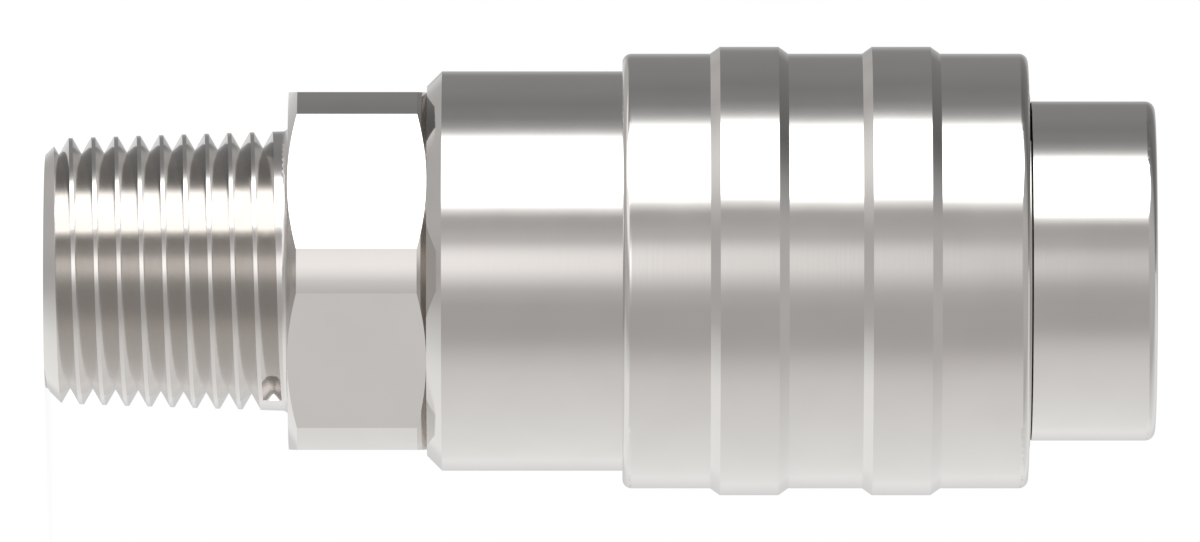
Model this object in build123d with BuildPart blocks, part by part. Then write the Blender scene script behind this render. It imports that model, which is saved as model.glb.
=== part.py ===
"""Valved quick coupling socket with a ball lock and a tapered pipe thread.

The socket stands on its threaded end, its axis on Z and its mouth up. Z = 0 is the end face of
the thread. A plug is pushed into the mouth, opens the valve and is held by eight balls. Pulling
the sleeve back, towards the thread, frees the balls.

All lengths are in millimetres.
"""

import os
from math import atan, ceil, degrees, radians, sin, tan

from build123d import *

# Tapered pipe thread, 3/8 size, 18 threads to the inch, cone of 1 in 16 on the diameter
thread_pitch = 25.4 / 18
thread_taper = 1 / 16
thread_angle = 60
thread_end_diameter = 16.46
thread_depth = 1.01
thread_length = 14.15
thread_runout_angle = 24
thread_end_chamfer = 1.0
thread_shoulder_length = 1.0
thread_shoulder_fillet = 0.4
port_diameter = 10.0

# Hexagon of the adapter, just inside the body, its corners turned and chamfered at both ends
hex_inside_body = 0.325
hex_turned_over_flats = 1.0
hex_length = 8.6
hex_chamfer_angle = 30

# Spigot of the adapter, which screws into the body
spigot_diameter = 19.0
spigot_length = 6.5
spigot_wall = 2.7
spigot_bore_depth = 10.0
spigot_tip_chamfer = 0.3
throat_cone_angle = 45

# Body: the mouth that takes the plug, the nose around it, and a thick rear for the sleeve
overall_length = 69.0
mouth_diameter = 14.3
mouth_chamfer = 0.8
nose_wall = 3.4
nose_tip_fillet = 0.6
nose_edge_break = 0.04
body_over_nose = 1.875
body_rear_chamfer = 0.93

# Valve chamber and valve seat in the body
chamber_diameter = 16.0
seat_throat_diameter = 10.4
seat_throat_length = 1.0
seat_angle = 45

# Gland of the plug seal, in the wall of the mouth
gland_depth = 1.7
gland_width = 3.2
gland_wall = 1.1
gland_floor_height = 2.0
plug_seal_section = 1.9
seal_clearance = 0.03
backup_ring_width = 1.15
backup_ring_bite = 0.05

# Ball lock, with a relief in the mouth where the holes break through
ball_count = 8
ball_diameter = 4.0
ball_depth = 15.9
ball_play = 0.18
ball_clearance = 0.05
ball_lifted_clearance = 0.1
ball_drill_angle = 45
ball_relief_depth = 0.25
ball_relief_width = 4.4

# Sleeve
sleeve_length = 25.2
sleeve_wall = 1.015
sleeve_overlap = 3.1
sleeve_rear_fillet = 0.55
sleeve_front_fillet = 0.55
sleeve_travel = 4.5
sleeve_slide_clearance = 0.08
sleeve_edge_break = 0.3
band_height = 0.43
band_width = 4.85
band_chamfer = 0.6
band_inset = 5.45
land_clearance = 0.13
land_rear = 2.7
land_front = 0.6
ramp_angle = 20
recess_clearance = 0.15
recess_past_ball = 1.5
front_flange_length = 1.0
front_counterbore_depth = 1.0

# Snap ring in front of the sleeve
ring_groove_depth = 0.6
ring_over_nose = 0.55
ring_width = 1.08
ring_gap = 5.2
ring_gap_angle = 210
ring_edge_fillet = 0.05
ring_clearance = 0.05
ring_seat_gap = 0.03
ring_groove_play = 0.08

# Springs
sleeve_spring_wire = 1.2
sleeve_spring_coils = 4.5
valve_spring_wire = 0.9
valve_spring_coils = 4.5
spring_end_gap = 0.02

# Seal between adapter and body
adapter_seal_section = 1.4
adapter_seal_groove_width = 1.9
adapter_seal_setback = 1.1

# Valve guide, a spider clamped between the spigot and a step in the body
guide_thickness = 1.5
guide_clearance = 0.1
guide_rim_width = 2.1
guide_hub_wall = 1.15
guide_hub_drop = 3.0
guide_hub_rise = 1.2
guide_spoke_width = 2.2
guide_spoke_count = 3
guide_edge_break = 0.2

# Valve
valve_seat_gap = 0.15
valve_flow_gap = 1.0
valve_tip_gap = 0.7
valve_nose_shoulder = 1.0
valve_nose_rise = 1.8
valve_nose_fillet = 0.4
valve_skirt_length = 1.2
valve_skirt_wall = 1.2
valve_stem_diameter = 3.9
valve_stem_clearance = 0.1
valve_stem_past_guide = 0.8
valve_stem_chamfer = 0.4
valve_spring_recess = 0.5
valve_seal_section = 1.5
valve_seal_past_throat = 0.55

# Heights worked out from the sizes above
hex_bottom = thread_length + thread_shoulder_length
hex_top = hex_bottom + hex_length
spigot_top = hex_top + spigot_length
guide_top = spigot_top + guide_thickness
ball_height = overall_length - ball_depth
relief_bottom = ball_height - ball_relief_width / 2
relief_top = ball_height + ball_relief_width / 2
gland_top = relief_bottom - gland_wall
gland_bottom = gland_top - gland_width
mouth_floor = gland_bottom - gland_floor_height
throat_bottom = mouth_floor - seat_throat_length
land_bottom = ball_height - land_rear
land_top = ball_height + land_front
recess_top = ball_height + sleeve_travel + recess_past_ball
flange_top = recess_top + front_flange_length
sleeve_top = flange_top + front_counterbore_depth
sleeve_bottom = sleeve_top - sleeve_length
body_step = sleeve_bottom + sleeve_overlap
ring_bottom = flange_top + ring_seat_gap
ring_top = ring_bottom + ring_width
groove_bottom = ring_bottom - ring_groove_play
groove_top = ring_top + ring_groove_play

# Radii worked out from the sizes above
thread_end_radius = thread_end_diameter / 2
taper_slope = thread_taper / 2
mouth_radius = mouth_diameter / 2
gland_radius = mouth_radius + gland_depth
relief_radius = mouth_radius + ball_relief_depth
nose_radius = mouth_radius + nose_wall
body_radius = nose_radius + body_over_nose
ball_radius = ball_diameter / 2
chamber_radius = chamber_diameter / 2
throat_radius = seat_throat_diameter / 2
spigot_radius = spigot_diameter / 2
sleeve_bore_radius = body_radius + sleeve_slide_clearance
sleeve_radius = sleeve_bore_radius + sleeve_wall
band_radius = sleeve_radius + band_height
land_radius = nose_radius + land_clearance
ball_rest_radius = land_radius - ball_play - ball_radius
ball_lifted_radius = mouth_radius + ball_lifted_clearance + ball_radius
recess_radius = ball_lifted_radius + ball_radius + recess_clearance
recess_depth = recess_radius - land_radius
ring_groove_radius = nose_radius - ring_groove_depth
ring_bore_radius = ring_groove_radius + ring_clearance
ring_outer_radius = nose_radius + ring_over_nose
stem_radius = valve_stem_diameter / 2
guide_radius = spigot_radius - guide_clearance
guide_window_radius = guide_radius - guide_rim_width
guide_bore_radius = stem_radius + valve_stem_clearance
guide_hub_radius = guide_bore_radius + guide_hub_wall

# Valve sizes worked out from the seat
head_radius = chamber_radius - valve_flow_gap
cone_tip_radius = throat_radius - valve_tip_gap
valve_nose_radius = cone_tip_radius - valve_nose_shoulder
spring_recess_radius = head_radius - valve_skirt_wall
seat_slope = 1 / tan(radians(seat_angle))
cone_bottom = throat_bottom - valve_seat_gap / sin(radians(seat_angle))
cone_bottom -= (head_radius - throat_radius) * seat_slope
cone_top = cone_bottom + (head_radius - cone_tip_radius) * seat_slope
valve_back = cone_bottom - valve_skirt_length
spring_seat = valve_back + valve_spring_recess


def taper_radius(height):
    """Crest radius of the tapered thread at a height above its end face."""
    return thread_end_radius + height * taper_slope


# Pipe thread: a cone with a helical V groove, which stops at a plain shoulder before the hexagon
groove_reach = 0.1
groove_half = (thread_depth + groove_reach) * tan(radians(thread_angle / 2))
groove_turns = ceil(thread_length / thread_pitch + 0.5) - thread_runout_angle / 360
groove_start_height = thread_length - groove_turns * thread_pitch

with BuildPart() as thread_groove:
    with BuildLine() as groove_path:
        Helix(
            pitch=thread_pitch,
            height=groove_turns * thread_pitch,
            radius=taper_radius(groove_start_height),
            center=(0, 0, groove_start_height),
            cone_angle=degrees(atan(taper_slope)),
        )
    groove_line = groove_path.edges()[0]
    with BuildSketch(Plane(origin=groove_line @ 0, x_dir=(1, 0, 0), z_dir=groove_line % 0)):
        with BuildLine():
            Polyline(
                (-thread_depth, 0),
                (groove_reach, groove_half),
                (groove_reach, -groove_half),
                close=True,
            )
        make_face()
    sweep(is_frenet=True)

with BuildPart() as pipe_thread:
    with BuildSketch(Plane.XZ):
        with BuildLine():
            Polyline(
                (0, 0),
                (thread_end_radius, 0),
                (taper_radius(hex_bottom), hex_bottom),
                (0, hex_bottom),
                close=True,
            )
        make_face()
    revolve(axis=Axis.Z)
    add(thread_groove.part, mode=Mode.SUBTRACT)
    with BuildSketch(Plane.XZ):
        with BuildLine():
            Polyline(
                (thread_end_radius - thread_end_chamfer, 0),
                (thread_end_radius + groove_reach, 0),
                (thread_end_radius + groove_reach, thread_end_chamfer + groove_reach),
                close=True,
            )
        make_face()
    revolve(axis=Axis.Z, mode=Mode.SUBTRACT)

# Threaded adapter: one turned piece with the pipe thread, the hexagon and the spigot
spigot_bore_radius = spigot_radius - spigot_wall
port_radius = port_diameter / 2
port_cone_top = spigot_top - spigot_bore_depth
port_cone_rise = (spigot_bore_radius - port_radius) / tan(radians(throat_cone_angle))
seal_groove_top = spigot_top - adapter_seal_setback
seal_groove_bottom = seal_groove_top - adapter_seal_groove_width
seal_groove_radius = spigot_radius - adapter_seal_section - 2 * seal_clearance
hex_turned_radius = body_radius - hex_inside_body
hex_face_radius = hex_turned_radius - hex_turned_over_flats
hex_chamfer_rise = hex_turned_over_flats * tan(radians(hex_chamfer_angle))

with BuildPart() as threaded_adapter:
    with BuildSketch(Plane.XY.offset(hex_bottom)):
        RegularPolygon(hex_face_radius, 6, major_radius=False, rotation=30)
    extrude(amount=hex_length)
    with BuildSketch(Plane.XZ):
        with BuildLine():
            Polyline(
                (0, hex_bottom),
                (hex_face_radius, hex_bottom),
                (hex_turned_radius, hex_bottom + hex_chamfer_rise),
                (hex_turned_radius, hex_top - hex_chamfer_rise),
                (hex_face_radius, hex_top),
                (0, hex_top),
                close=True,
            )
        make_face()
    revolve(axis=Axis.Z, mode=Mode.INTERSECT)
    add(pipe_thread.part)
    shoulder_corner = threaded_adapter.edges().filter_by(GeomType.CIRCLE)
    shoulder_corner = shoulder_corner.filter_by_position(Axis.Z, hex_bottom, hex_bottom)
    fillet(shoulder_corner.sort_by(SortBy.RADIUS)[0], thread_shoulder_fillet)
    with BuildSketch(Plane.XY.offset(hex_top)):
        Circle(spigot_radius)
    extrude(amount=spigot_length)
    chamfer(threaded_adapter.edges().sort_by(Axis.Z)[-1], spigot_tip_chamfer)
    with BuildSketch(Plane.XZ):
        with BuildLine():
            Polyline(
                (0, 0),
                (port_radius, 0),
                (port_radius, port_cone_top - port_cone_rise),
                (spigot_bore_radius, port_cone_top),
                (spigot_bore_radius, spigot_top),
                (0, spigot_top),
                close=True,
            )
        make_face()
    revolve(axis=Axis.Z, mode=Mode.SUBTRACT)
    with BuildSketch(Plane.XY.offset(seal_groove_bottom)):
        Circle(spigot_radius + spigot_tip_chamfer)
        Circle(seal_groove_radius, mode=Mode.SUBTRACT)
    extrude(amount=adapter_seal_groove_width, mode=Mode.SUBTRACT)

threaded_adapter.part.label = "threaded_adapter"

# Socket body: a turned piece with the valve chamber, the seat, the mouth and the ball holes
seat_drop = (chamber_radius - throat_radius) * seat_slope

with BuildPart() as socket_body:
    with BuildSketch(Plane.XZ):
        with BuildLine():
            Polyline(
                (spigot_radius, hex_top),
                (body_radius - body_rear_chamfer, hex_top),
                (body_radius, hex_top + body_rear_chamfer),
                (body_radius, body_step),
                (nose_radius, body_step),
                (nose_radius, groove_bottom),
                (ring_groove_radius, groove_bottom),
                (ring_groove_radius, groove_top),
                (nose_radius - nose_edge_break, groove_top),
                (nose_radius, groove_top + nose_edge_break),
                (nose_radius, overall_length - nose_tip_fillet),
            )
            RadiusArc(
                (nose_radius, overall_length - nose_tip_fillet),
                (nose_radius - nose_tip_fillet, overall_length),
                -nose_tip_fillet,
            )
            Polyline(
                (nose_radius - nose_tip_fillet, overall_length),
                (mouth_radius + mouth_chamfer, overall_length),
                (mouth_radius, overall_length - mouth_chamfer),
                (mouth_radius, relief_top),
                (relief_radius, relief_top),
                (relief_radius, relief_bottom),
                (mouth_radius, relief_bottom),
                (mouth_radius, gland_top),
                (gland_radius, gland_top),
                (gland_radius, gland_bottom),
                (mouth_radius, gland_bottom),
                (mouth_radius, mouth_floor),
                (throat_radius, mouth_floor),
                (throat_radius, throat_bottom),
                (chamber_radius, throat_bottom - seat_drop),
                (chamber_radius, guide_top),
                (spigot_radius, guide_top),
                (spigot_radius, hex_top),
            )
        make_face()
    revolve(axis=Axis.Z)

# A drill with a pointed tip leaves a lip in each hole, so the balls can't drop into the mouth
drill_radius = ball_radius + ball_clearance
drill_tip = ball_rest_radius - drill_radius / sin(radians(ball_drill_angle))
drill_shoulder = drill_tip + drill_radius / tan(radians(ball_drill_angle))
drill_top = nose_radius + ball_clearance

with BuildPart() as ball_drill:
    with BuildSketch(Plane.XY):
        with BuildLine():
            Polyline(
                (drill_tip, 0),
                (drill_shoulder, drill_radius),
                (drill_top, drill_radius),
                (drill_top, 0),
                close=True,
            )
        make_face()
    revolve(axis=Axis.X)

with socket_body:
    with Locations((0, 0, ball_height)):
        with PolarLocations(0, ball_count):
            add(ball_drill.part, mode=Mode.SUBTRACT)
socket_body.part.label = "socket_body"

# Valve guide: a rim clamped by the spigot, three spokes and a hub that guides the valve stem
guide_hub_bottom = spigot_top - guide_hub_drop
guide_hub_length = guide_hub_drop + guide_thickness + guide_hub_rise
spoke_reach = guide_radius - guide_rim_width / 2

with BuildPart() as valve_guide:
    with BuildSketch(Plane.XY.offset(spigot_top)):
        Circle(guide_radius)
        Circle(guide_window_radius, mode=Mode.SUBTRACT)
        with PolarLocations(spoke_reach / 2, guide_spoke_count):
            Rectangle(spoke_reach, guide_spoke_width)
    extrude(amount=guide_thickness)
    with BuildSketch(Plane.XY.offset(guide_hub_bottom)):
        Circle(guide_hub_radius)
    extrude(amount=guide_hub_length)
    hub_rims = valve_guide.edges().filter_by(GeomType.CIRCLE).sort_by(Axis.Z)
    chamfer([hub_rims[0], hub_rims[-1]], guide_edge_break)
    with BuildSketch(Plane.XY.offset(guide_hub_bottom)):
        Circle(guide_bore_radius)
    extrude(amount=guide_hub_length, mode=Mode.SUBTRACT)
valve_guide.part.label = "valve_guide"

# Valve: a conical head with a nose that the plug pushes, and a stem that runs in the guide
valve_top = mouth_floor + valve_nose_rise
stem_bottom = guide_hub_bottom - valve_stem_past_guide

with BuildPart() as valve_poppet:
    with BuildSketch(Plane.XZ):
        with BuildLine():
            Polyline(
                (0, stem_bottom),
                (stem_radius - valve_stem_chamfer, stem_bottom),
                (stem_radius, stem_bottom + valve_stem_chamfer),
                (stem_radius, spring_seat),
                (spring_recess_radius, spring_seat),
                (spring_recess_radius, valve_back),
                (head_radius, valve_back),
                (head_radius, cone_bottom),
                (cone_tip_radius, cone_top),
                (valve_nose_radius, cone_top),
                (valve_nose_radius, valve_top),
                (0, valve_top),
                close=True,
            )
        make_face()
    revolve(axis=Axis.Z)
    nose_rim = valve_poppet.edges().filter_by(GeomType.CIRCLE).sort_by(Axis.Z)[-1]
    fillet(nose_rim, valve_nose_fillet)

# The valve seal lies in a round groove in the cone and stands just clear of the seat
seal_half = valve_seal_section / 2
valve_seal_radius = throat_radius + valve_seal_past_throat
valve_seal_height = throat_bottom - valve_seal_past_throat * seat_slope
valve_seal_height -= (seal_half + seal_clearance) / sin(radians(seat_angle))

with valve_poppet:
    with BuildSketch(Plane.XZ):
        with Locations((valve_seal_radius, valve_seal_height)):
            Circle(seal_half + seal_clearance)
    revolve(axis=Axis.Z, mode=Mode.SUBTRACT)
valve_poppet.part.label = "valve_poppet"


def turned_seal(ring_radius, height, section, label):
    """A round-section seal ring about the axis."""
    with BuildPart() as seal:
        with BuildSketch(Plane.XZ):
            with Locations((ring_radius, height)):
                Circle(section / 2)
        revolve(axis=Axis.Z)
    seal.part.label = label
    return seal.part


valve_seal = turned_seal(valve_seal_radius, valve_seal_height, valve_seal_section, "valve_seal")
plug_seal = turned_seal(
    gland_radius - seal_clearance - plug_seal_section / 2,
    gland_bottom + seal_clearance + plug_seal_section / 2,
    plug_seal_section,
    "plug_seal",
)
adapter_seal = turned_seal(
    spigot_radius - seal_clearance - adapter_seal_section / 2,
    (seal_groove_bottom + seal_groove_top) / 2,
    adapter_seal_section,
    "adapter_seal",
)

# Backup ring, on the mouth side of the plug seal
backup_top = gland_top - seal_clearance
with BuildPart() as backup_ring:
    with BuildSketch(Plane.XY.offset(backup_top - backup_ring_width)):
        Circle(gland_radius - seal_clearance)
        Circle(mouth_radius + backup_ring_bite, mode=Mode.SUBTRACT)
    extrude(amount=backup_ring_width)
backup_ring.part.label = "backup_ring"

# Sleeve: two raised bands outside, and inside the land, ramp and recess that work the balls
ramp_rise = recess_depth / tan(radians(ramp_angle))
counterbore_radius = ring_outer_radius + 2 * ring_clearance
band_pitch = sleeve_length - 2 * band_inset - band_width

with BuildPart() as locking_sleeve:
    with BuildSketch(Plane.XZ):
        with BuildLine():
            Polyline(
                (sleeve_bore_radius + sleeve_edge_break, sleeve_bottom),
                (sleeve_radius, sleeve_bottom),
                (sleeve_radius, sleeve_top),
                (counterbore_radius, sleeve_top),
                (counterbore_radius, flange_top),
                (land_radius, flange_top),
                (land_radius, recess_top + recess_depth),
                (recess_radius, recess_top),
                (recess_radius, land_top + ramp_rise),
                (land_radius, land_top),
                (land_radius, land_bottom),
                (sleeve_bore_radius, land_bottom),
                (sleeve_bore_radius, sleeve_bottom + sleeve_edge_break),
                close=True,
            )
        make_face()
    revolve(axis=Axis.Z)
    outer_rims = locking_sleeve.edges().filter_by(GeomType.CIRCLE).group_by(SortBy.RADIUS)[-1]
    fillet(outer_rims.sort_by(Axis.Z)[0], sleeve_rear_fillet)
    fillet(outer_rims.sort_by(Axis.Z)[-1], sleeve_front_fillet)
    for band_bottom in (sleeve_bottom + band_inset, sleeve_bottom + band_inset + band_pitch):
        with BuildSketch(Plane.XZ):
            with BuildLine():
                Polyline(
                    (sleeve_radius - band_chamfer, band_bottom),
                    (sleeve_radius, band_bottom),
                    (band_radius, band_bottom + band_chamfer),
                    (band_radius, band_bottom + band_width - band_chamfer),
                    (sleeve_radius, band_bottom + band_width),
                    (sleeve_radius - band_chamfer, band_bottom + band_width),
                    close=True,
                )
            make_face()
        revolve(axis=Axis.Z)
locking_sleeve.part.label = "locking_sleeve"

# Snap ring: flat and sprung open, with a gap between its ends that leaves the groove bare
ring_gap_arc = degrees(ring_gap / ring_outer_radius)
ring_end_angle = ring_gap_angle + ring_gap_arc / 2
ring_middle = ((ring_bore_radius + ring_outer_radius) / 2, (ring_bottom + ring_top) / 2)

with BuildPart() as sleeve_snap_ring:
    with BuildSketch(Plane.XZ.rotated((0, 0, ring_end_angle))) as ring_section:
        with Locations(ring_middle):
            Rectangle(ring_outer_radius - ring_bore_radius, ring_width)
        fillet(ring_section.vertices().group_by(Axis.X)[-1], ring_edge_fillet)
    revolve(axis=Axis.Z, revolution_arc=360 - ring_gap_arc)
sleeve_snap_ring.part.label = "sleeve_snap_ring"


def coil_spring(mean_radius, wire, bottom, top, coils, label):
    """A compression spring of round wire between two faces."""
    first = bottom + wire / 2 + spring_end_gap
    rise = top - bottom - wire - 2 * spring_end_gap
    with BuildPart() as spring:
        with BuildLine() as coil:
            Helix(pitch=rise / coils, height=rise, radius=mean_radius, center=(0, 0, first))
        start = coil.edges()[0]
        with BuildSketch(Plane(origin=start @ 0, z_dir=start % 0)):
            Circle(wire / 2)
        sweep(is_frenet=True)
    spring.part.label = label
    return spring.part


sleeve_spring = coil_spring(
    (nose_radius + sleeve_bore_radius) / 2,
    sleeve_spring_wire,
    body_step,
    land_bottom,
    sleeve_spring_coils,
    "sleeve_spring",
)
valve_spring = coil_spring(
    (guide_hub_radius + spring_recess_radius) / 2,
    valve_spring_wire,
    guide_top,
    spring_seat,
    valve_spring_coils,
    "valve_spring",
)

# Locking balls
locking_balls = []
for number in range(ball_count):
    turn = 360 / ball_count * number
    centre = Vector(ball_rest_radius, 0, ball_height).rotate(Axis.Z, turn)
    with BuildPart() as locking_ball:
        with Locations(centre):
            Sphere(ball_radius)
    locking_ball.part.label = f"locking_ball_{number + 1}"
    locking_balls.append(locking_ball.part)

pieces = [
    threaded_adapter.part,
    adapter_seal,
    socket_body.part,
    valve_guide.part,
    valve_poppet.part,
    valve_seal,
    valve_spring,
    plug_seal,
    backup_ring.part,
    locking_sleeve.part,
    sleeve_spring,
    sleeve_snap_ring.part,
    *locking_balls,
]

os.makedirs("parts", exist_ok=True)
for piece in pieces:
    export_step(piece, f"parts/{piece.label}.step")
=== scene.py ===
"""A valved quick coupling socket of turned stainless steel, standing on its pipe thread."""

from math import atan2, cos, radians, sin, tau

import bmesh
import bpy
from mathutils import Matrix, Vector


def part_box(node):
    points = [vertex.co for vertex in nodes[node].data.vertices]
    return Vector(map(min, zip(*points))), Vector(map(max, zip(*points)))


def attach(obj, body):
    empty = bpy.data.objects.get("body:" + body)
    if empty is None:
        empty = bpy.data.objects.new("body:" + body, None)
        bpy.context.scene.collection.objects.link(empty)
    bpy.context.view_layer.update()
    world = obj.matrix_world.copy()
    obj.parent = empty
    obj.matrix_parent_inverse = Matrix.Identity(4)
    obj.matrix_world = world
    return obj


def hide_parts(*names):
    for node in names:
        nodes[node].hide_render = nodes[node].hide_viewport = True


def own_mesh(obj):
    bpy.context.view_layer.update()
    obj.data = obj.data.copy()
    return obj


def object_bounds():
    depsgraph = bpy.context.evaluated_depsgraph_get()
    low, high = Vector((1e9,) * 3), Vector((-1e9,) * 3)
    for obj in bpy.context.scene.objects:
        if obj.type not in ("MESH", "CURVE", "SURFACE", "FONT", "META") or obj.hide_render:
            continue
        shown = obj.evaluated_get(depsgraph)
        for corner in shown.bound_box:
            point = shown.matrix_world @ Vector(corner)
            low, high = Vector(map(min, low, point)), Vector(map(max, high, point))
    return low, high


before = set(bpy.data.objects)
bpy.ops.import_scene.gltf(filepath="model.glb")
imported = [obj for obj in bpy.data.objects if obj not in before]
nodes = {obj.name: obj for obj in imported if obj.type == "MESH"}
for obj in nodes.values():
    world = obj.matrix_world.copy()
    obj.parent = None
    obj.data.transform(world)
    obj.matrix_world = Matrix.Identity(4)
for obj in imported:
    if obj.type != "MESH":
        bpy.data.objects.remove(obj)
solid_low, solid_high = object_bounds()

# Camera. It looks level along +Y at the middle of the socket, rolled a quarter turn, so that the
# thread points to the left of the picture and the mouth to the right. The picture is as wide as
# stated a little in front of the axis.
picture_width = 0.07452
sensor_width = 36.0
long_lens = 750.0
front_depth = 0.003
camera_distance = picture_width * long_lens / sensor_width + front_depth
camera_data = bpy.data.cameras.new("camera")
camera_data.sensor_width = sensor_width
camera_data.lens = long_lens
camera_data.clip_start = 0.1
camera_data.clip_end = 4.0
camera = bpy.data.objects.new("camera", camera_data)
picture_right = Vector((0, 0, 1))
picture_up = Vector((-1, 0, 0))
towards_camera = Vector((0, -1, 0))
camera.matrix_world = Matrix.Translation((0, -camera_distance, solid_high.z / 2)) @ Matrix(
    (picture_right, picture_up, towards_camera)
).transposed().to_4x4()
bpy.context.scene.collection.objects.link(camera)
bpy.context.scene.camera = camera
bpy.context.scene.view_settings.view_transform = "Standard"

# World. Plain white for what is seen directly, through something or in a polish, and a softer grey
# for the light that falls on matt things.
world = bpy.data.worlds.new("white_studio")
world.use_nodes = True
bpy.context.scene.world = world
tree = world.node_tree
tree.nodes.clear()
rays = tree.nodes.new("ShaderNodeLightPath")
seen = tree.nodes.new("ShaderNodeMath")
seen.operation = "MAXIMUM"
tree.links.new(rays.outputs["Is Camera Ray"], seen.inputs[0])
tree.links.new(rays.outputs["Is Transmission Ray"], seen.inputs[1])
seen_or_mirrored = tree.nodes.new("ShaderNodeMath")
seen_or_mirrored.operation = "MAXIMUM"
tree.links.new(seen.outputs[0], seen_or_mirrored.inputs[0])
tree.links.new(rays.outputs["Is Glossy Ray"], seen_or_mirrored.inputs[1])
soft_light = tree.nodes.new("ShaderNodeBackground")
soft_light.inputs["Color"].default_value = (0.5, 0.5, 0.5, 1)
white = tree.nodes.new("ShaderNodeBackground")
white.inputs["Color"].default_value = (1, 1, 1, 1)
either = tree.nodes.new("ShaderNodeMixShader")
tree.links.new(seen_or_mirrored.outputs[0], either.inputs["Fac"])
tree.links.new(soft_light.outputs[0], either.inputs[1])
tree.links.new(white.outputs[0], either.inputs[2])
out = tree.nodes.new("ShaderNodeOutputWorld")
tree.links.new(either.outputs[0], out.inputs["Surface"])

# Light tent. A round tent of graded cloth about the socket, which only its polish sees. The cloth
# is dark behind the top, has a long white window over the top front and two grey stripes in front,
# and is bright below.
tent_radius = 0.9
mesh = bmesh.new()
bmesh.ops.create_icosphere(mesh, subdivisions=5, radius=tent_radius)
bmesh.ops.reverse_faces(mesh, faces=mesh.faces)
tent_mesh = bpy.data.meshes.new("light_tent")
mesh.to_mesh(tent_mesh)
mesh.free()
tent = bpy.data.objects.new("light_tent", tent_mesh)
bpy.context.scene.collection.objects.link(tent)
tent.visible_camera = False
tent.visible_diffuse = False
tent.visible_transmission = False
tent.visible_shadow = False
cloth = bpy.data.materials.new("tent_cloth")
cloth.use_nodes = True
tree = cloth.node_tree
tree.nodes.clear()
place = tree.nodes.new("ShaderNodeTexCoord")


def grey_ramp(start, end, stops):
    """A ramp of greys. Each stop is where it lies between start and end, how light it is and how
    much warmer than neutral."""
    node = tree.nodes.new("ShaderNodeValToRGB")
    for index, (value, grey, warmth) in enumerate(stops):
        share = (value - start) / (end - start)
        if index < 2:
            stop = node.color_ramp.elements[index]
            stop.position = share
        else:
            stop = node.color_ramp.elements.new(share)
        stop.color = (grey * (1 + warmth), grey, grey * (1 - warmth / 2), 1)
    return node


# Wall, by the angle in degrees from the camera's side towards the top of the picture
wall = grey_ramp(-180, 180, [
    (-180, 0.60, 0),
    (-142, 0.98, 0),
    (-106, 0.88, 0),
    (-71, 0.76, 0.01),
    (-60, 0.71, 0.02),
    (-50, 0.61, 0.03),
    (-40, 0.48, 0.02),
    (-33, 0.45, 0.02),
    (24, 0.44, 0.02),
    (31, 0.47, 0.02),
    (36, 1.0, 0.02),
    (40, 2.8, 0),
    (79, 2.8, 0),
    (84, 1.35, 0),
    (87, 0.72, 0),
    (91, 0.42, 0),
    (98, 0.275, 0),
    (112, 0.24, 0),
    (126, 0.265, 0),
    (155, 0.27, 0),
    (180, 0.60, 0),
])
turned = tree.nodes.new("ShaderNodeMapping")
turned.inputs["Scale"].default_value = (-1, 1, 1)
turned.inputs["Rotation"].default_value = (0, 0, radians(90))
tree.links.new(place.outputs["Object"], turned.inputs["Vector"])
around = tree.nodes.new("ShaderNodeTexGradient")
around.gradient_type = "RADIAL"
tree.links.new(turned.outputs["Vector"], around.inputs["Vector"])
tree.links.new(around.outputs["Fac"], wall.inputs["Fac"])

# Gap between the two stripes in front, by the same angle
gap = grey_ramp(-180, 180, [
    (-20, 0, 0),
    (-11, 0.16, 0.02),
    (-7, 0.42, 0.02),
    (-1, 0.84, 0.02),
    (2, 1, 0.02),
    (8, 1, 0.02),
    (11, 0.84, 0.02),
    (17, 0.25, 0.02),
    (27, 0, 0),
])
tree.links.new(around.outputs["Fac"], gap.inputs["Fac"])

# How much light the gap lets in, by the height in metres, which is the place along the socket
height_range = 0.1
parts = tree.nodes.new("ShaderNodeSeparateXYZ")
tree.links.new(place.outputs["Object"], parts.inputs[0])
along = tree.nodes.new("ShaderNodeMapRange")
along.inputs["From Min"].default_value = -height_range
along.inputs["From Max"].default_value = height_range
tree.links.new(parts.outputs["Z"], along.inputs["Value"])
gap_light = grey_ramp(-height_range, height_range, [
    (-0.1, 1.0, 0),
    (-0.05, 0.84, 0),
    (-0.025, 0.57, 0),
    (0, 0.64, 0),
    (0.012, 0.74, 0),
    (0.032, 0.60, 0),
    (0.045, 0.49, 0),
    (0.066, 0.335, 0),
    (0.089, 0.18, 0),
])
tree.links.new(along.outputs[0], gap_light.inputs["Fac"])
lit_wall = tree.nodes.new("ShaderNodeVectorMath")
lit_wall.operation = "MULTIPLY_ADD"
tree.links.new(gap.outputs["Color"], lit_wall.inputs[0])
tree.links.new(gap_light.outputs["Color"], lit_wall.inputs[1])
tree.links.new(wall.outputs["Color"], lit_wall.inputs[2])

# End beyond the mouth, by the same angle as the wall
mouth_end = grey_ramp(-180, 180, [
    (-180, 0.60, 0),
    (-168, 0.85, 0),
    (-155, 0.93, 0),
    (-125, 0.82, 0),
    (-102, 0.70, 0.01),
    (-90, 0.635, 0.02),
    (-78, 0.545, 0.02),
    (-65, 0.50, 0.02),
    (10, 0.52, 0.02),
    (31, 0.50, 0.02),
    (49, 0.46, 0.01),
    (65, 0.40, 0),
    (78, 0.32, 0),
    (91, 0.20, 0),
    (102, 0.15, 0),
    (125, 0.185, 0),
    (156, 0.23, 0),
    (180, 0.60, 0),
])
tree.links.new(around.outputs["Fac"], mouth_end.inputs["Fac"])

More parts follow.
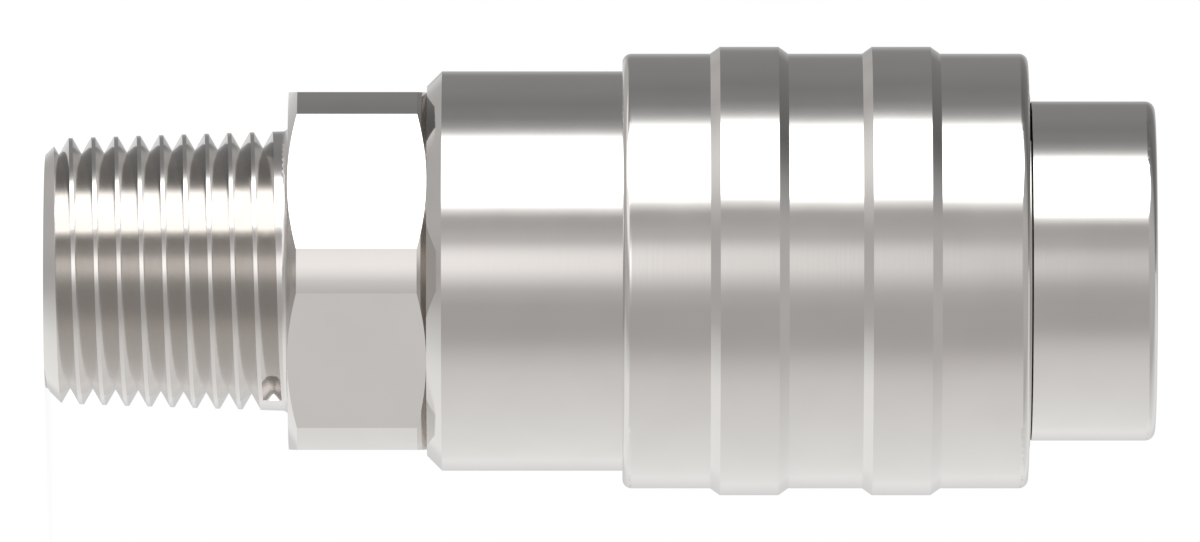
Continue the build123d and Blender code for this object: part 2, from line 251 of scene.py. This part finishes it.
# End beyond the thread, by how far a direction leans towards the middle of the window
thread_end = grey_ramp(-1, 1, [
    (-1, 1.0, 0),
    (-0.70, 0.98, 0),
    (-0.56, 0.95, 0),
    (-0.48, 0.89, 0),
    (-0.33, 0.725, 0),
    (-0.23, 0.62, 0.01),
    (-0.14, 0.505, 0.02),
    (0, 0.47, 0.02),
    (0.20, 0.52, 0.02),
    (0.38, 0.48, 0.02),
    (0.43, 0.545, 0.02),
    (0.49, 0.70, 0.02),
    (0.60, 1.1, 0.01),
])
window_middle = radians(60)
direction = tree.nodes.new("ShaderNodeVectorMath")
direction.operation = "NORMALIZE"
tree.links.new(place.outputs["Object"], direction.inputs[0])
leaning = tree.nodes.new("ShaderNodeSeparateXYZ")
tree.links.new(direction.outputs["Vector"], leaning.inputs[0])
to_window = tree.nodes.new("ShaderNodeVectorMath")
to_window.operation = "DOT_PRODUCT"
tree.links.new(direction.outputs["Vector"], to_window.inputs[0])
to_window.inputs[1].default_value = (-sin(window_middle), -cos(window_middle), 0)
lean = tree.nodes.new("ShaderNodeMapRange")
lean.inputs["From Min"].default_value = -1
tree.links.new(to_window.outputs["Value"], lean.inputs["Value"])
tree.links.new(lean.outputs[0], thread_end.inputs["Fac"])
towards_thread = tree.nodes.new("ShaderNodeMath")
towards_thread.operation = "LESS_THAN"
towards_thread.inputs[1].default_value = 0
tree.links.new(leaning.outputs["Z"], towards_thread.inputs[0])
ends = tree.nodes.new("ShaderNodeMix")
ends.data_type = "RGBA"
tree.links.new(towards_thread.outputs[0], ends.inputs["Factor"])
tree.links.new(mouth_end.outputs["Color"], ends.inputs["A"])
tree.links.new(thread_end.outputs["Color"], ends.inputs["B"])

# Where the wall stops and an end begins, by the same angle, as the share of a direction that
# points along the socket. The window reaches furthest.
limit_softness = 0.07
mouth_limit = grey_ramp(-180, 180, [
    (-180, 0.36, 0),
    (-60, 0.36, 0),
    (7, 0.28, 0),
    (38, 0.26, 0),
    (45, 0.37, 0),
    (53, 0.47, 0),
    (60, 0.54, 0),
    (68, 0.53, 0),
    (74, 0.44, 0),
    (82, 0.24, 0),
    (88, 0.17, 0),
    (125, 0.17, 0),
    (180, 0.12, 0),
])
thread_limit = grey_ramp(-180, 180, [
    (-180, 0.38, 0),
    (34, 0.38, 0),
    (46, 0.46, 0),
    (54, 0.62, 0),
    (62, 0.74, 0),
    (70, 0.76, 0),
    (85, 0.71, 0),
    (92, 0.50, 0),
    (130, 0.22, 0),
    (180, 0.10, 0),
])
tree.links.new(around.outputs["Fac"], mouth_limit.inputs["Fac"])
tree.links.new(around.outputs["Fac"], thread_limit.inputs["Fac"])
limit = tree.nodes.new("ShaderNodeMix")
limit.data_type = "FLOAT"
tree.links.new(towards_thread.outputs[0], limit.inputs["Factor"])
tree.links.new(mouth_limit.outputs["Color"], limit.inputs["A"])
tree.links.new(thread_limit.outputs["Color"], limit.inputs["B"])
steepness = tree.nodes.new("ShaderNodeMath")
steepness.operation = "ABSOLUTE"
tree.links.new(leaning.outputs["Z"], steepness.inputs[0])
past_limit = tree.nodes.new("ShaderNodeMath")
past_limit.operation = "SUBTRACT"
tree.links.new(steepness.outputs[0], past_limit.inputs[0])
tree.links.new(limit.outputs["Result"], past_limit.inputs[1])
end_share = tree.nodes.new("ShaderNodeMapRange")
end_share.interpolation_type = "SMOOTHSTEP"
end_share.inputs["From Min"].default_value = -limit_softness
end_share.inputs["From Max"].default_value = limit_softness
tree.links.new(past_limit.outputs[0], end_share.inputs["Value"])
greys = tree.nodes.new("ShaderNodeMix")
greys.data_type = "RGBA"
tree.links.new(end_share.outputs[0], greys.inputs["Factor"])
tree.links.new(lit_wall.outputs["Vector"], greys.inputs["A"])
tree.links.new(ends.outputs["Result"], greys.inputs["B"])
glow = tree.nodes.new("ShaderNodeEmission")
tree.links.new(greys.outputs["Result"], glow.inputs["Color"])
out = tree.nodes.new("ShaderNodeOutputMaterial")
tree.links.new(glow.outputs[0], out.inputs["Surface"])
tent_mesh.materials.append(cloth)

# Floor. White card with a faint shadow of the socket on it, which hides nothing from below.
floor_half_width = 0.25
mesh = bmesh.new()
bmesh.ops.create_grid(mesh, x_segments=1, y_segments=1, size=floor_half_width)
floor_mesh = bpy.data.meshes.new("floor")
mesh.to_mesh(floor_mesh)
mesh.free()
floor = bpy.data.objects.new("floor", floor_mesh)
bpy.context.scene.collection.objects.link(floor)
floor.visible_glossy = False
card = bpy.data.materials.new("white_card")
card.use_nodes = True
tree = card.node_tree
tree.nodes.clear()
matt = tree.nodes.new("ShaderNodeBsdfDiffuse")
matt.inputs["Color"].default_value = (0.2, 0.2, 0.2, 1)
glow = tree.nodes.new("ShaderNodeEmission")
glow.inputs["Strength"].default_value = 0.88
both = tree.nodes.new("ShaderNodeAddShader")
tree.links.new(matt.outputs[0], both.inputs[0])
tree.links.new(glow.outputs[0], both.inputs[1])
side = tree.nodes.new("ShaderNodeNewGeometry")
clear = tree.nodes.new("ShaderNodeBsdfTransparent")
one_sided = tree.nodes.new("ShaderNodeMixShader")
tree.links.new(side.outputs["Backfacing"], one_sided.inputs["Fac"])
tree.links.new(both.outputs[0], one_sided.inputs[1])
tree.links.new(clear.outputs[0], one_sided.inputs[2])
out = tree.nodes.new("ShaderNodeOutputMaterial")
tree.links.new(one_sided.outputs[0], out.inputs["Surface"])
floor_mesh.materials.append(card)

# Lamp. One large square soft box above the top front, for the matt pieces and the floor's shadow.
lamp_data = bpy.data.lights.new("soft_box", "AREA")
lamp_data.shape = "SQUARE"
lamp_data.size = 0.8
lamp_data.energy = 8.0
lamp = bpy.data.objects.new("soft_box", lamp_data)
bpy.context.scene.collection.objects.link(lamp)
lamp.location = (-0.5, -0.5, 0.6)
lamp_target = Vector((0, 0, 0.03))
lamp.rotation_euler = (lamp_target - lamp.location).to_track_quat("-Z", "Y").to_euler()
lamp.visible_glossy = False

# Threaded adapter. It is turned from hexagon bar of stainless steel: the pipe thread is cut on one
# end and the hexagon's corners are turned off. The hexagon shows the skin of the drawn bar, up to a
# margin at each end.
steel_colour = (0.755, 0.735, 0.715, 1)
steel_shade = (0.735, 0.715, 0.695, 1)
steel_roughness = (0.085, 0.12)
patch_size = 0.004
mark_spacing = 0.00016
mark_depth = 0.000001


def metal(name, colour, shade, roughness, patch):
    """Bare metal in two near shades, with the roughness changing a little from patch to patch."""
    made = bpy.data.materials.new(name)
    made.use_nodes = True
    nodes_here = made.node_tree.nodes
    links = made.node_tree.links
    shader = nodes_here["Principled BSDF"]
    shader.inputs["Metallic"].default_value = 1.0
    where = nodes_here.new("ShaderNodeTexCoord")
    patches = nodes_here.new("ShaderNodeTexNoise")
    patches.inputs["Scale"].default_value = 1 / patch
    patches.inputs["Detail"].default_value = 3
    links.new(where.outputs["Object"], patches.inputs["Vector"])
    colours = nodes_here.new("ShaderNodeValToRGB")
    colours.color_ramp.elements[0].position = 0.35
    colours.color_ramp.elements[0].color = shade
    colours.color_ramp.elements[1].position = 0.65
    colours.color_ramp.elements[1].color = colour
    links.new(patches.outputs["Fac"], colours.inputs["Fac"])
    links.new(colours.outputs["Color"], shader.inputs["Base Color"])
    polish = nodes_here.new("ShaderNodeMapRange")
    polish.inputs["From Min"].default_value = 0.3
    polish.inputs["From Max"].default_value = 0.7
    polish.inputs["To Min"].default_value = roughness[0]
    polish.inputs["To Max"].default_value = roughness[1]
    links.new(patches.outputs["Fac"], polish.inputs["Value"])
    links.new(polish.outputs[0], shader.inputs["Roughness"])
    return made


def turning_marks(made):
    """Fine rings left by the tool, about the part's axis. Gives the nodes that say where a point is
    along and from the axis, and those of the marks and their relief."""
    nodes_here = made.node_tree.nodes
    links = made.node_tree.links
    where = nodes_here.new("ShaderNodeTexCoord")
    split = nodes_here.new("ShaderNodeSeparateXYZ")
    links.new(where.outputs["Object"], split.inputs[0])
    flat = nodes_here.new("ShaderNodeCombineXYZ")
    links.new(split.outputs["X"], flat.inputs["X"])
    links.new(split.outputs["Y"], flat.inputs["Y"])
    reach = nodes_here.new("ShaderNodeVectorMath")
    reach.operation = "LENGTH"
    links.new(flat.outputs[0], reach.inputs[0])
    rings = nodes_here.new("ShaderNodeCombineXYZ")
    links.new(reach.outputs["Value"], rings.inputs["X"])
    links.new(split.outputs["Z"], rings.inputs["Z"])
    marks = nodes_here.new("ShaderNodeTexNoise")
    marks.inputs["Scale"].default_value = 1 / mark_spacing
    marks.inputs["Detail"].default_value = 2
    links.new(rings.outputs[0], marks.inputs["Vector"])
    bump = nodes_here.new("ShaderNodeBump")
    bump.inputs["Strength"].default_value = 0.6
    bump.inputs["Distance"].default_value = mark_depth
    links.new(marks.outputs["Fac"], bump.inputs["Height"])
    links.new(bump.outputs[0], nodes_here["Principled BSDF"].inputs["Normal"])
    return split, reach, marks, bump


hexagon_half_length = 0.0043
hexagon_margin = 0.0001
drawing_stretch = 0.02
bar_steel = metal("hexagon_bar_steel", steel_colour, steel_shade, steel_roughness, patch_size)
split, _, marks, bump = turning_marks(bar_steel)
bar_nodes = bar_steel.node_tree.nodes
bar_links = bar_steel.node_tree.links
drawn = bar_nodes.new("ShaderNodeMapping")
drawn.inputs["Scale"].default_value = (1, 1, drawing_stretch)
where = bar_nodes.new("ShaderNodeTexCoord")
bar_links.new(where.outputs["Object"], drawn.inputs["Vector"])
drawn_marks = bar_nodes.new("ShaderNodeTexNoise")
drawn_marks.inputs["Scale"].default_value = 1 / mark_spacing
bar_links.new(drawn.outputs["Vector"], drawn_marks.inputs["Vector"])
hexagon_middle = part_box("socket_body")[0].z - hexagon_half_length
on_hexagon = bar_nodes.new("ShaderNodeMath")
on_hexagon.operation = "COMPARE"
on_hexagon.inputs[1].default_value = hexagon_middle
on_hexagon.inputs[2].default_value = hexagon_half_length - hexagon_margin
bar_links.new(split.outputs["Z"], on_hexagon.inputs[0])
either_marks = bar_nodes.new("ShaderNodeMix")
either_marks.data_type = "FLOAT"
bar_links.new(on_hexagon.outputs[0], either_marks.inputs["Factor"])
bar_links.new(marks.outputs["Fac"], either_marks.inputs["A"])
bar_links.new(drawn_marks.outputs["Fac"], either_marks.inputs["B"])
bar_links.new(either_marks.outputs["Result"], bump.inputs["Height"])
nodes["threaded_adapter"].material_slots[0].material = bar_steel

# Seal between adapter and body. A moulded ring of black nitrile rubber, squeezed into a groove of
# the spigot, with the fine grain of its mould.
rubber_grain = 0.00025
rubber = bpy.data.materials.new("black_rubber")
rubber.use_nodes = True
rubber_nodes = rubber.node_tree.nodes
rubber_links = rubber.node_tree.links
shader = rubber_nodes["Principled BSDF"]
shader.inputs["Base Color"].default_value = (0.014, 0.014, 0.015, 1)
where = rubber_nodes.new("ShaderNodeTexCoord")
grain = rubber_nodes.new("ShaderNodeTexNoise")
grain.inputs["Scale"].default_value = 1 / rubber_grain
grain.inputs["Detail"].default_value = 4
rubber_links.new(where.outputs["Object"], grain.inputs["Vector"])
sheen = rubber_nodes.new("ShaderNodeMapRange")
sheen.inputs["To Min"].default_value = 0.36
sheen.inputs["To Max"].default_value = 0.55
rubber_links.new(grain.outputs["Fac"], sheen.inputs["Value"])
rubber_links.new(sheen.outputs[0], shader.inputs["Roughness"])
bump = rubber_nodes.new("ShaderNodeBump")
bump.inputs["Strength"].default_value = 0.5
bump.inputs["Distance"].default_value = 0.00001
rubber_links.new(grain.outputs["Fac"], bump.inputs["Height"])
rubber_links.new(bump.outputs[0], shader.inputs["Normal"])
nodes["adapter_seal"].material_slots[0].material = rubber

# Valve guide. A spider of stainless steel, clamped between the spigot and a step in the body. Its
# hub guides the valve's stem and its three windows let the oil through.
turned_steel = metal(
    "turned_stainless_steel", steel_colour, steel_shade, steel_roughness, patch_size
)
turning_marks(turned_steel)
nodes["valve_guide"].material_slots[0].material = turned_steel

# Valve. A turned cone with a nose that the plug pushes and a stem behind, and a rubber ring in a
# groove of the cone that closes on the seat.
nodes["valve_poppet"].material_slots[0].material = turned_steel
nodes["valve_seal"].material_slots[0].material = rubber

# Valve spring. Round spring wire wound on a mandrel, between the guide and the back of the valve.
# It shortens as the valve opens.
spring_colour = (0.50, 0.49, 0.475, 1)
spring_shade = (0.40, 0.39, 0.38, 1)
spring_roughness = (0.18, 0.3)
spring_patch = 0.0008
valve_wire = 0.0009
valve_coils = 4.5
wire_sides = 24
steps_in_a_turn = 60
end_rounding = 1 / 12


def coiled_wire(name, node, wire, coils):
    """A coil of round wire in the place of a node, with its two cut ends a little rounded."""
    low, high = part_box(node)
    mean_radius = (high.x - low.x - wire) / 2
    rise = high.z - low.z - wire
    steps = round(coils * steps_in_a_turn)
    lead_angle = atan2(rise / coils, tau * mean_radius)
    mesh = bmesh.new()
    section = bmesh.ops.create_circle(mesh, radius=wire / 2, segments=wire_sides)["verts"]
    bmesh.ops.rotate(mesh, verts=section, matrix=Matrix.Rotation(radians(90) + lead_angle, 3, "X"))
    bmesh.ops.translate(mesh, verts=section, vec=(mean_radius, 0, low.z + wire / 2))
    bmesh.ops.spin(
        mesh,
        geom=mesh.verts[:] + mesh.edges[:],
        axis=(0, 0, 1),
        cent=(0, 0, 0),
        dvec=(0, 0, rise / steps),
        angle=tau * coils,
        steps=steps,
    )
    ends = [edge for edge in mesh.edges if edge.is_boundary]
    bmesh.ops.holes_fill(mesh, edges=ends, sides=wire_sides)
    bmesh.ops.bevel(
        mesh,
        geom=ends,
        offset=wire * end_rounding,
        segments=3,
        profile=0.5,
        affect="EDGES",
        material=-1,
    )
    bmesh.ops.recalc_face_normals(mesh, faces=mesh.faces)
    for face in mesh.faces:
        face.smooth = True
    data = bpy.data.meshes.new(name)
    mesh.to_mesh(data)
    mesh.free()
    data.set_sharp_from_angle(angle=radians(35))
    made = bpy.data.objects.new(name, data)
    bpy.context.scene.collection.objects.link(made)
    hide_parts(node)
    return made


spring_steel = metal(
    "spring_wire_steel", spring_colour, spring_shade, spring_roughness, spring_patch
)
valve_coil = coiled_wire("valve_coil", "valve_spring", valve_wire, valve_coils)
valve_coil.data.materials.append(spring_steel)
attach(valve_coil, "socket")
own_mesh(valve_coil)

# Body. Turned from round stainless bar, with a ball hole through the nose at each of eight places.
# The groove of the snap ring is painted near black and dull, a painted shade for its deep, narrow
# slit.
groove_play = 0.00015
groove_mouth = 0.01053
# Painted shade: near black colour and duller roughness for the inside of the snap ring's groove.
groove_painted_shade = (0.02, 0.018, 0.016, 1)
groove_shade_roughness = 0.5
body_steel = metal("body_stainless_steel", steel_colour, steel_shade, steel_roughness, patch_size)
split, reach, _, _ = turning_marks(body_steel)
body_nodes = body_steel.node_tree.nodes
body_links = body_steel.node_tree.links
ring_low, ring_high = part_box("sleeve_snap_ring")
in_width = body_nodes.new("ShaderNodeMath")
in_width.operation = "COMPARE"
in_width.inputs[1].default_value = (ring_low.z + ring_high.z) / 2
in_width.inputs[2].default_value = (ring_high.z - ring_low.z) / 2 + groove_play
body_links.new(split.outputs["Z"], in_width.inputs[0])
in_depth = body_nodes.new("ShaderNodeMath")
in_depth.operation = "LESS_THAN"
in_depth.inputs[1].default_value = groove_mouth
body_links.new(reach.outputs["Value"], in_depth.inputs[0])
in_groove = body_nodes.new("ShaderNodeMath")
in_groove.operation = "MULTIPLY"
body_links.new(in_width.outputs[0], in_groove.inputs[0])
body_links.new(in_depth.outputs[0], in_groove.inputs[1])
shader = body_nodes["Principled BSDF"]
clean_colour = shader.inputs["Base Color"].links[0].from_socket
clean_polish = shader.inputs["Roughness"].links[0].from_socket
# Painted shade: the groove's inside takes the near black colour in place of the steel's own.
painted_groove_shade = body_nodes.new("ShaderNodeMix")
painted_groove_shade.data_type = "RGBA"
painted_groove_shade.inputs["B"].default_value = groove_painted_shade
body_links.new(in_groove.outputs[0], painted_groove_shade.inputs["Factor"])
body_links.new(clean_colour, painted_groove_shade.inputs["A"])
body_links.new(painted_groove_shade.outputs["Result"], shader.inputs["Base Color"])
dulled = body_nodes.new("ShaderNodeMix")
dulled.data_type = "FLOAT"
dulled.inputs["B"].default_value = groove_shade_roughness
body_links.new(in_groove.outputs[0], dulled.inputs["Factor"])
body_links.new(clean_polish, dulled.inputs["A"])
body_links.new(dulled.outputs["Result"], shader.inputs["Roughness"])
nodes["socket_body"].material_slots[0].material = body_steel

# Plug seal and its backup ring. A rubber ring in the gland of the mouth closes on the plug, and a
# ring of white plastic beside it keeps the pressure from pushing the rubber into the gap.
nodes["plug_seal"].material_slots[0].material = rubber
clouds_in_a_metre = 900
plastic = bpy.data.materials.new("white_plastic")
plastic.use_nodes = True
plastic_nodes = plastic.node_tree.nodes
plastic_links = plastic.node_tree.links
shader = plastic_nodes["Principled BSDF"]
where = plastic_nodes.new("ShaderNodeTexCoord")
clouds = plastic_nodes.new("ShaderNodeTexNoise")
clouds.inputs["Scale"].default_value = clouds_in_a_metre
plastic_links.new(where.outputs["Object"], clouds.inputs["Vector"])
whites = plastic_nodes.new("ShaderNodeValToRGB")
whites.color_ramp.elements[0].color = (0.74, 0.73, 0.69, 1)
whites.color_ramp.elements[1].color = (0.82, 0.81, 0.78, 1)
plastic_links.new(clouds.outputs["Fac"], whites.inputs["Fac"])
plastic_links.new(whites.outputs["Color"], shader.inputs["Base Color"])
shader.inputs["Roughness"].default_value = 0.42
nodes["backup_ring"].material_slots[0].material = plastic

# Locking balls. Eight ground and polished balls of hardened chromium steel, loose in their holes
# and held in by the sleeve.
ball_colour = (0.62, 0.615, 0.605, 1)
ball_shade = (0.60, 0.595, 0.585, 1)
ball_roughness = (0.04, 0.07)
ball_patch = 0.0012
ball_steel = metal("polished_ball_steel", ball_colour, ball_shade, ball_roughness, ball_patch)
for name, node in nodes.items():
    if name.startswith("locking_ball_"):
        node.material_slots[0].material = ball_steel

# Locking sleeve. Turned from stainless bar with two raised bands for the fingers, it slides back
# along the body against its spring to let the balls out.
nodes["locking_sleeve"].material_slots[0].material = turned_steel

# Sleeve spring. Heavier spring wire between the step of the body and the sleeve's land. It
# shortens as the sleeve is drawn back.
sleeve_wire = 0.0012
sleeve_coils = 4.5
sleeve_coil = coiled_wire("sleeve_coil", "sleeve_spring", sleeve_wire, sleeve_coils)
sleeve_coil.data.materials.append(spring_steel)
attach(sleeve_coil, "spring")
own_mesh(sleeve_coil)

# Snap ring. Spring steel wire rolled flat and sprung into its groove, where it stops the sleeve.
ring_colour = (0.62, 0.605, 0.59, 1)
ring_shade = (0.57, 0.555, 0.54, 1)
ring_roughness = (0.12, 0.18)
ring_patch = 0.002
ring_steel = metal("snap_ring_steel", ring_colour, ring_shade, ring_roughness, ring_patch)
nodes["sleeve_snap_ring"].material_slots[0].material = ring_steel
